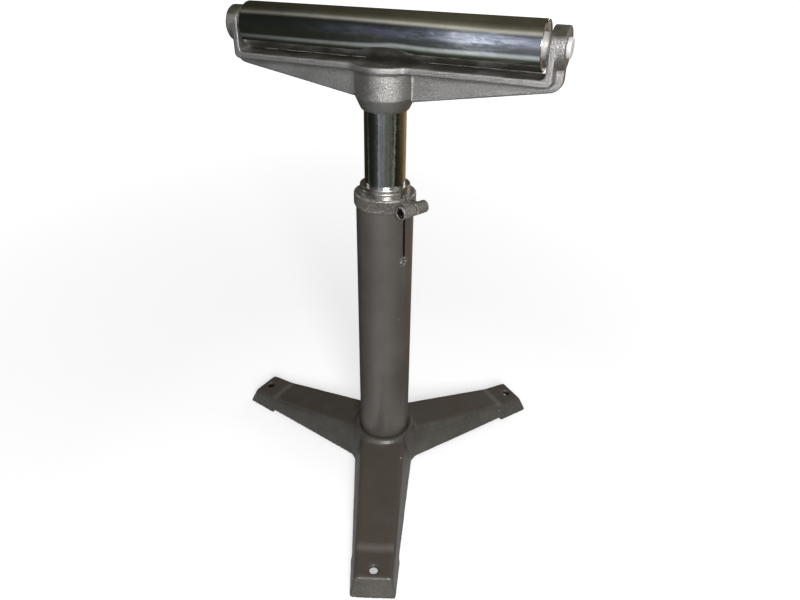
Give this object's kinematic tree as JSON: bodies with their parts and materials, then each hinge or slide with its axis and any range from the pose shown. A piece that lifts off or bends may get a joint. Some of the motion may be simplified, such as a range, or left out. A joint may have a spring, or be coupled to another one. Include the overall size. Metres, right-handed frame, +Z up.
{
  "type": "roller stand",
  "caption": "Height-adjustable floor stand: cast tripod, split tube with a clamp collar, sliding post and a T-shaped head that carries one free-turning work-support roller.",
  "frame": {"origin": "on the floor under the post's axis", "axes": "+Z up along the post, +X along the roller, front leg 22 degrees from -Y towards +X"},
  "size_m": [0.4677, 0.4788, 0.643],
  "materials": {
    "base_paint": "dark grey-brown satin enamel over the cast skin",
    "tube_paint": "dark grey-brown metallic satin enamel",
    "collar_paint": "dark grey-brown enamel, chipped at the edges",
    "head_paint": "silver-grey hammered paint on a rough casting",
    "machined_steel": "turned bright, lightly oiled",
    "chrome_plate": "polished hard chrome",
    "turned_steel": "turned bright",
    "blackened_steel": "black oxide",
    "bearing_steel": "ground bright",
    "guide_plastic": "natural nylon"
  },
  "bodies": {
    "base": {"base_casting": "base_paint", "outer_tube": "tube_paint", "base_set_screw": "blackened_steel", "clamp_collar": "collar_paint", "guide_bushing": "machined_steel", "clamp_lock_washer": "blackened_steel"},
    "guide": {"guide_ring": "guide_plastic"},
    "mast": {"inner_post": "chrome_plate", "guide_retaining_rings": "blackened_steel", "head_casting": "head_paint", "post_set_screws": "blackened_steel", "axle": "turned_steel", "axle_set_screws": "blackened_steel", "left_inner_race": "bearing_steel", "right_inner_race": "bearing_steel", "left_spacer": "turned_steel", "right_spacer": "turned_steel"},
    "roller": {"roller_shell": "chrome_plate", "left_bearing_housing": "turned_steel", "right_bearing_housing": "turned_steel", "left_outer_race": "bearing_steel", "right_outer_race": "bearing_steel", "left_balls": "bearing_steel", "right_balls": "bearing_steel", "left_bearing_shield": "bearing_steel", "right_bearing_shield": "bearing_steel"},
    "clamp_screw": {"clamp_screw": "blackened_steel"}
  },
  "joints": [
    {"name": "height_slide", "type": "slide", "parent": "base", "child": "guide", "axis": [0, 0, 1], "range_m": [-0.058, 0.295]},
    {"name": "post_swivel", "type": "hinge", "parent": "guide", "child": "mast", "pos_m": [0, 0, 0.3], "axis": [0, 0, 1], "continuous": true},
    {"name": "roller_spin", "type": "hinge", "parent": "mast", "child": "roller", "pos_m": [0, 0, 0.6176], "axis": [1, 0, 0], "continuous": true},
    {"name": "clamp_screw_turn", "type": "hinge", "parent": "base", "child": "clamp_screw", "pos_m": [0.04659, -0.02074, 0.427], "axis": [-0.4067, -0.9135, 0], "range_deg": [0, 360]}
  ]
}
